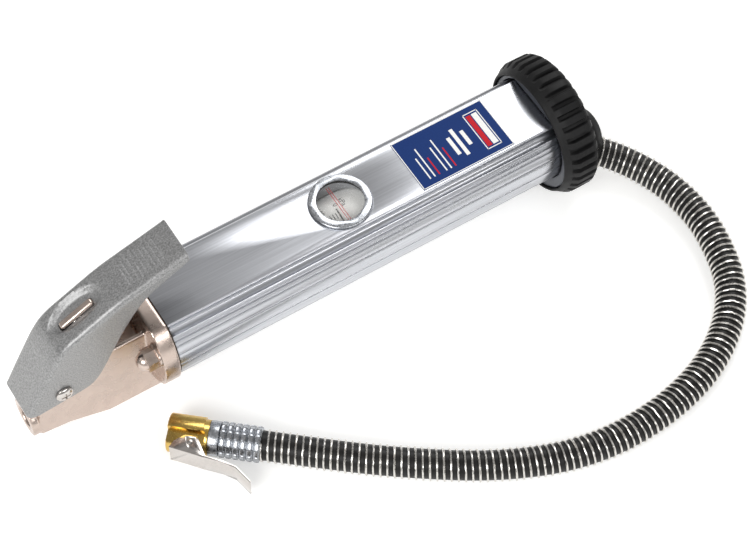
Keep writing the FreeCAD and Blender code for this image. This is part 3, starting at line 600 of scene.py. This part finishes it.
class HOSE_OT_inflator(bpy.types.Operator):
    """Make the rubber hose and the steel wire wound round it."""
    bl_idname = "inflator.hose"
    bl_label = "Hose and guard"

    def execute(self, context):
        sizes = context.scene.inflator_sizes
        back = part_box("rear_end_cap")[1].x
        route = [Vector((back, 0, 0)) + Vector(point) * MM for point in HOSE_ROUTE]
        curve = bpy.data.curves.new("hose_line", "CURVE")
        curve.dimensions = "3D"
        curve.bevel_depth = sizes.hose_diameter / 2
        curve.bevel_resolution = 8
        curve.resolution_u = 16
        curve.use_fill_caps = True
        spline = curve.splines.new("NURBS")
        spline.points.add(len(route) - 1)
        for place, point in zip(spline.points, route):
            place.co = (*point, 1)
        spline.order_u = 3
        spline.use_endpoint_u = True
        curve.materials.append(material("hose_rubber"))
        hose = link("hose_rubber", curve)
        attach(hose, "tool")
        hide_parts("hose")

        line = spline_points(curve)
        coil = helix(line, sizes.hose_diameter / 2 + 0.45 * sizes.guard_wire, sizes.guard_pitch, 20)
        guard = finished("hose_guard_wire", wire("guard", coil, sizes.guard_wire / 2), "tool",
                         "spring_steel", ["hose_guard"])
        return {"FINISHED"}


class CONNECTOR_OT_inflator(bpy.types.Operator):
    """Make the crimped ferrule, the brass connector, and its sprung clip."""
    bl_idname = "inflator.connector"
    bl_label = "Connector"

    def execute(self, context):
        way = Vector(frame["record"]["mounts"][1]["axis"])
        start = Vector((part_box("rear_end_cap")[1].x, 0, 0)) + Vector(HOSE_ROUTE[-1]) * MM
        rings = 6
        reach = 20.0 * MM
        pitch = reach / rings
        end = 7.4 * MM
        valley = 7.9 * MM
        crest = 8.9 * MM
        profile = [(0.0, end)]
        for ring in range(rings):
            low = ring * pitch
            profile += [(low + 0.02 * pitch, valley), (low + 0.16 * pitch, crest),
                        (low + 0.8 * pitch, crest), (low + 0.98 * pitch, valley)]
        profile.append((reach, end))
        bm = lathe(profile, start, way, steps=14)
        smallest_flat = 4e-6
        flats = [f for f in bm.faces if f.calc_area() > smallest_flat]
        bmesh.ops.inset_individual(bm, faces=flats, thickness=0.45 * MM, depth=-0.28 * MM)
        round_edges(bm, 0.12 * MM, 1, 20.0)
        finished("ferrule_crimped", bm, "tool", "plated_steel", ["ferrule"], "zinc_plate")
        rounded_node("connector_tail", 0.5 * MM, 3, "zinc_plate")
        rounded_node("connector_body", 0.35 * MM, 2)
        rounded_node("clip_lever", 0.3 * MM, 2)
        rounded_node("clip_pin", 0.3 * MM, 2)
        return {"FINISHED"}


# ---------------------------------------------------------------- body, window and label
class BODY_OT_inflator(bpy.types.Operator):
    """Finish the extruded body and its window ring."""
    bl_idname = "inflator.body"
    bl_label = "Body"

    def execute(self, context):
        rounded_node("body_extrusion", 0.25 * MM, 2)
        rounded_node("window_bezel", 0.25 * MM, 2, "zinc_plate")
        return {"FINISHED"}


def wrap_on_drum(bm, where, radius, axis_z):
    """Bend a flat print, drawn with X along the tool and Y across it, onto the drum."""
    for vert in bm.verts:
        angle = vert.co.y / radius
        out = radius + vert.co.z
        vert.co = Vector((where + vert.co.x, out * math.sin(angle), axis_z + out * math.cos(angle)))


def lettering(text, height):
    """Flat mesh of a number or unit that reads across the tool, with its foot towards the inlet."""
    curve = bpy.data.curves.new("figures", "FONT")
    curve.body = text
    curve.size = height
    curve.extrude = 0.03 * MM
    curve.align_x = "CENTER"
    mesh = evaluated_mesh(link("figures", curve))
    bm = bmesh.new()
    bm.from_mesh(mesh)
    bmesh.ops.remove_doubles(bm, verts=bm.verts, dist=1e-6)
    bmesh.ops.rotate(bm, verts=bm.verts, matrix=Matrix.Rotation(-math.pi / 2, 3, "Z"))
    return bm


class DIAL_OT_inflator(bpy.types.Operator):
    """Print the pressure scale on its drum, and the cursor lines under the window."""
    bl_idname = "inflator.dial"
    bl_label = "Pressure scale"

    def execute(self, context):
        step = context.scene.inflator_sizes.scale_step
        low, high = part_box("scale_drum")
        radius = (high.z - low.z) / 2
        axis_z = (high.z + low.z) / 2
        cursor = middle("window_bezel").x
        zero = cursor - 2.0 * MM
        count = int(round(JOINT["gauge_slide"]["range_m"][1] / step))
        group = 5
        ink = 0.06 * MM
        marks = bmesh.new()
        for number in range(count + 1):
            across = 4.4 * MM if number % group == 0 else 3.0 * MM
            place = (zero - number * step, -2.8 * MM, 0)
            size = (0.42 * MM, across, ink)
            if number == 0:
                place = (zero, -3.4 * MM, 0)
                size = (0.8 * MM, 8.0 * MM, ink)
            strip = bar(marks, place, size)
            edges = {e for v in strip for e in v.link_edges if abs(e.verts[0].co.y - e.verts[1].co.y) > MM}
            bmesh.ops.subdivide_edges(marks, edges=list(edges), cuts=3, use_grid_fill=True)
        wrap_on_drum(marks, 0.0, radius, axis_z)
        finished("scale_marks", marks, "gauge", "printed_drum", finish="black_ink")
        value_of_mark = 20
        for number in range(0, count + 1, group):
            figures = lettering(str(number * value_of_mark), 3.6 * MM)
            bmesh.ops.translate(figures, verts=figures.verts, vec=(-1.1 * MM, 3.0 * MM, 0))
            beside = 0.4 * MM if number else 0.9 * MM
            wrap_on_drum(figures, zero - number * step + beside, radius, axis_z)
            finished("scale_figure_%d" % number, figures, "gauge", "printed_drum", finish="black_ink")
        unit = lettering("kPa", 3.8 * MM)
        bmesh.ops.translate(unit, verts=unit.verts, vec=(0, 3.0 * MM, 0))
        wrap_on_drum(unit, cursor + 1.6 * MM, radius, axis_z)
        finished("scale_unit", unit, "gauge", "printed_drum", finish="black_ink")

        lines = bmesh.new()
        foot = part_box("cursor_disc")[0].z
        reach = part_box("cursor_disc")[1].y
        for side in (-1, 1):
            bar(lines, (cursor + side * 0.6 * MM, 0, foot - 0.06 * MM),
                (0.32 * MM, 1.9 * reach, 0.1 * MM))
        finished("cursor_lines", lines, "tool", "clear_lens", finish="red_ink")
        return {"FINISHED"}


class LABEL_OT_inflator(bpy.types.Operator):
    """Print a plain generic label: a framed block and rows of short bars."""
    bl_idname = "inflator.label"
    bl_label = "Label"

    def execute(self, context):
        low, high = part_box("label_plate")
        top = high.z + 0.02 * MM
        across = high.y - low.y
        along = high.x - low.x
        ink = {"white_ink": bmesh.new(), "red_ink": bmesh.new()}

        def stripe(colour_name, u, v, long, wide, lift=0.0):
            centre = (low.x + u * along, low.y + v * across, top + lift)
            bar(ink[colour_name], centre, (long, wide, 0.04 * MM))

        edge = 0.45 * MM
        for v in (0.012, 0.988):
            stripe("white_ink", 0.5, v, along * 0.99, edge)
        for u in (0.006, 0.994):
            stripe("white_ink", u, 0.5, edge, across * 0.99)
        for v in (0.13, 0.87):
            stripe("white_ink", 0.83, v, 8.4 * MM, 0.5 * MM)
        for u in (0.755, 0.905):
            stripe("white_ink", u, 0.5, 0.5 * MM, across * 0.76)
        stripe("white_ink", 0.86, 0.5, 3.0 * MM, across * 0.66)
        stripe("red_ink", 0.795, 0.5, 2.6 * MM, across * 0.66)
        for row, (u, wide) in enumerate(((0.65, 0.3), (0.57, 0.55), (0.5, 0.36))):
            stripe("white_ink", u, 0.5 - 0.02 * row, 2.0 * MM, across * wide)
        for u, wide, name in ((0.4, 0.4, "red_ink"), (0.35, 0.62, "white_ink"), (0.3, 0.5, "white_ink"),
                              (0.22, 0.36, "red_ink"), (0.17, 0.6, "white_ink"),
                              (0.12, 0.44, "white_ink")):
            stripe(name, u, 0.13 + wide / 2, 0.7 * MM, across * wide)
        for name, bm in ink.items():
            finished("label_" + name, bm, "tool", "printed_label", finish=name)
        return {"FINISHED"}


# ---------------------------------------------------------------- head, lever and fasteners
class HEAD_OT_inflator(bpy.types.Operator):
    """Blend the edges of the die-cast valve head."""
    bl_idname = "inflator.head"
    bl_label = "Valve head"

    def execute(self, context):
        melted_node("valve_head", 0.6 * MM, 5)
        return {"FINISHED"}


def lever_line(share, side):
    """Point of the lever's web (side 0) or cheek edge (side 1) at a share of the lever's length."""
    at = share * (len(LEVER_RIBS) - 1)
    first = max(0, min(int(at), len(LEVER_RIBS) - 2))
    start = Vector(LEVER_RIBS[first][side])
    end = Vector(LEVER_RIBS[first + 1][side])
    return start.lerp(end, at - first)


def bent_line(share, side):
    """The same point where the sheet bends round each corner instead of breaking."""
    if share <= 0.0 or share >= 1.0:
        return lever_line(share, side)
    reach = min(0.05, share, 1 - share)
    near = [lever_line(share + reach * step / 4, side) for step in range(-4, 5)]
    return sum(near, Vector((0, 0))) / len(near)


def smooth_step(value):
    value = max(0.0, min(1.0, value))
    return value * value * (3 - 2 * value)


class LEVER_OT_inflator(bpy.types.Operator):
    """Press the lever from sheet: web, cheeks, dish with its slot, grip lines and rubbing bar."""
    bl_idname = "inflator.lever"
    bl_label = "Trigger lever"

    def execute(self, context):
        sizes = context.scene.inflator_sizes
        pivot = Vector(JOINT["trigger_pivot"]["pos_m"])
        low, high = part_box("trigger_lever")
        half = (high.y - low.y) / 2
        pad_low, pad_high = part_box("lever_pad")
        slot_half = (pad_high.y - pad_low.y) / 2 + 0.2 * MM
        pad = (pad_low + pad_high) / 2
        run = Vector(LEVER_RIBS[WEB_END][0]) - Vector(LEVER_RIBS[WEB_START][0])
        slope = math.atan2(run.y, run.x)
        slot_reach = 9.8 * MM
        bend = sizes.lever_bend
        dish_long = 17 * MM
        dish_wide = 7.4 * MM
        dish_aside = 1.4 * MM
        grip_start = 27 * MM
        grip_pitch = 2.6 * MM
        grip_count = 9
        grip_half = 8 * MM
        grip_depth = 0.3 * MM

        rows = 190
        web = [0.0, 0.5 * slot_half, slot_half, 3.1 * MM, 4.2 * MM, 5.3 * MM, 6.4 * MM, 7.2 * MM,
               half - bend]
        across = [-y for y in reversed(web[1:])] + web
        bends = 5
        cheeks = 7
        columns = len(across) + 2 * (bends + cheeks)

        bm = bmesh.new()
        bmesh.ops.create_grid(bm, x_segments=columns - 1, y_segments=rows - 1, size=1.0)
        slot_faces = []
        for vert in bm.verts:
            column = round((vert.co.x + 1) / 2 * (columns - 1))
            share = (vert.co.y + 1) / 2
            top = bent_line(share, 0) * MM
            under = bent_line(share, 1) * MM
            drop = (under - top).normalized()
            deep = (under - top).length
            turn = min(bend, 0.6 * deep)
            number = min(column, columns - 1 - column)
            side = -1 if column < columns / 2 else 1
            if number < cheeks:
                down = turn + (deep - turn) * (1 - number / cheeks)
                y = side * half
            elif number < cheeks + bends:
                angle = (number - cheeks) / bends * math.pi / 2
                down = turn * (1 - math.sin(angle))
                y = side * (half - turn * (1 - math.cos(angle)))
            else:
                down = 0.0
                y = across[column - cheeks - bends]
            place = top + drop * down
            x = pivot.x + place.x
            z = pivot.z + place.y
            if number >= cheeks + bends:
                along = (x - pad.x) / math.cos(slope)
                dish = 1 - (along / dish_long) ** 2 - ((y - dish_aside) / dish_wide) ** 2
                sink = sizes.dish_depth * smooth_step(dish * 1.8)
                grip = (along - grip_start) / grip_pitch
                if 0 <= grip < grip_count and abs(grip % 1 - 0.5) < 0.16 and abs(y) < grip_half:
                    sink += grip_depth
                x += math.sin(slope) * sink
                z -= math.cos(slope) * sink
            vert.co = (x, y, z)
        for face in bm.faces:
            centre = face.calc_center_median()
            along = (centre.x - pad.x) / math.cos(slope)
            on_web = abs(centre.z - pad.z - (centre.x - pad.x) * math.tan(slope)) < 5 * MM
            if on_web and abs(along) < slot_reach and abs(centre.y) < slot_half:
                slot_faces.append(face)
        bmesh.ops.delete(bm, geom=slot_faces, context="FACES")
        bmesh.ops.recalc_face_normals(bm, faces=bm.faces)
        if sum(f.normal.z * f.calc_area() for f in bm.faces) < 0:
            bmesh.ops.reverse_faces(bm, faces=bm.faces)
        lever = finished("trigger_lever_pressed", bm, "trigger", "hammered_paint", ["trigger_lever"])
        sheet = lever.modifiers.new("Sheet", "SOLIDIFY")
        sheet.thickness = sizes.lever_sheet
        sheet.offset = -1.0
        rim = lever.modifiers.new("Rim", "BEVEL")
        rim.width = 0.45 * MM
        rim.segments = 2
        rim.limit_method = "ANGLE"
        rim.angle_limit = math.radians(50)

        bm = bmesh.new()
        bar(bm, pad, (19.0 * MM, 3.8 * MM, 2.6 * MM), Matrix.Rotation(-slope, 4, "Y"))
        round_edges(bm, 1.2 * MM, 4)
        finished("rubbing_bar", bm, "trigger", "nickel_casting", ["lever_pad"])
        return {"FINISHED"}


class FASTENERS_OT_inflator(bpy.types.Operator):
    """Finish the pivot screw, its nut, the dome nuts and their washers."""
    bl_idname = "inflator.fasteners"
    bl_label = "Fasteners"

    def execute(self, context):
        rounded_node("pivot_screw", 0.2 * MM)
        rounded_node("pivot_nut", 0.3 * MM)
        rounded_node("acorn_nuts", 0.5 * MM, 3)
        rounded_node("nut_washers", 0.2 * MM)
        return {"FINISHED"}


# ---------------------------------------------------------------- hose end of the body
class RING_OT_inflator(bpy.types.Operator):
    """Mould the protective ring with its tread, the rear cap and the hose boot."""
    bl_idname = "inflator.ring"
    bl_label = "Ring, cap and boot"

    def execute(self, context):
        sizes = context.scene.inflator_sizes
        low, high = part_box("rubber_ring")
        centre = Vector((low.x, 0, (low.z + high.z) / 2))
        radius = (high.z - low.z) / 2
        wall = 4.6 * MM
        bore = radius - wall
        long = high.x - low.x
        rim = 3.2 * MM
        run_in = 2.5 * MM
        least_wall = 0.7 * MM
        outer = [(0.0, -3.9), (0.6, -3.3), (2.0, -2.6), (3.2, -1.9), (5.0, -0.7), (6.6, 0.0)]
        profile = [(0.0, bore)] + [(x * MM, radius + r * MM) for x, r in outer]
        profile += [(long - 8 * MM, radius), (long - 3.0 * MM, radius - 0.1 * MM),
                    (long - 1.2 * MM, radius - 1.4 * MM), (long, radius - 3.2 * MM), (long, bore),
                    (long / 2, bore + 0.2 * MM)]
        per_rib = 8
        groove = 3
        steps = sizes.tread_count * per_rib
        bm = lathe(profile, centre, Vector((1, 0, 0)), steps=steps, closed=True)
        for vert in bm.verts:
            away = vert.co - centre
            flat = Vector((0, away.y, away.z))
            if away.x < rim + 0.1 * MM or flat.length < bore + 1.0 * MM:
                continue
            at = round(math.atan2(away.z, away.y) / TURN * steps) % per_rib
            if at < groove:
                depth = sizes.tread_depth * (1.0 if away.x > rim + run_in else 0.8)
                vert.co -= flat.normalized() * min(depth, flat.length - bore - least_wall)
        round_edges(bm, 0.22 * MM, 2, 35.0)
        finished("rubber_ring_treaded", bm, "tool", "black_rubber", ["rubber_ring"])
        melted_node("rear_end_cap", 0.8 * MM, 8)
        melted_node("hose_boot", 0.5 * MM, 14)
        return {"FINISHED"}


class WORKS_OT_inflator(bpy.types.Operator):
    """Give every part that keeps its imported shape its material."""
    bl_idname = "inflator.works"
    bl_label = "Inner parts"

    def execute(self, context):
        for name, item in NODES.items():
            item.material_slots[0].material = material(SLOT_OF[name])
        return {"FINISHED"}


# ---------------------------------------------------------------- add-on
OPERATORS = (STAGE_OT_inflator, CONNECTOR_OT_inflator, HOSE_OT_inflator, BODY_OT_inflator,
             DIAL_OT_inflator, LABEL_OT_inflator, HEAD_OT_inflator, LEVER_OT_inflator,
             FASTENERS_OT_inflator, RING_OT_inflator, WORKS_OT_inflator)


class VIEW3D_PT_inflator(bpy.types.Panel):
    """Sizes, colours and pieces of the inflator."""
    bl_label = "Tyre inflator"
    bl_space_type = "VIEW_3D"
    bl_region_type = "UI"
    bl_category = "Inflator"

    def draw(self, context):
        for group in (context.scene.inflator_sizes, context.scene.inflator_colours):
            box = self.layout.box()
            for name in group.__annotations__:
                box.prop(group, name)
        for operator in OPERATORS:
            self.layout.operator(operator.bl_idname)


CLASSES = (InflatorSizes, InflatorColours) + OPERATORS + (VIEW3D_PT_inflator,)


def register():
    for item in CLASSES:
        bpy.utils.register_class(item)
    bpy.types.Scene.inflator_sizes = bpy.props.PointerProperty(type=InflatorSizes)
    bpy.types.Scene.inflator_colours = bpy.props.PointerProperty(type=InflatorColours)


def unregister():
    del bpy.types.Scene.inflator_colours
    del bpy.types.Scene.inflator_sizes
    for item in reversed(CLASSES):
        bpy.utils.unregister_class(item)


def main():
    register()
    for operator in OPERATORS:
        group, name = operator.bl_idname.split(".")
        getattr(getattr(bpy.ops, group), name)()


if __name__ == "__main__":
    main()
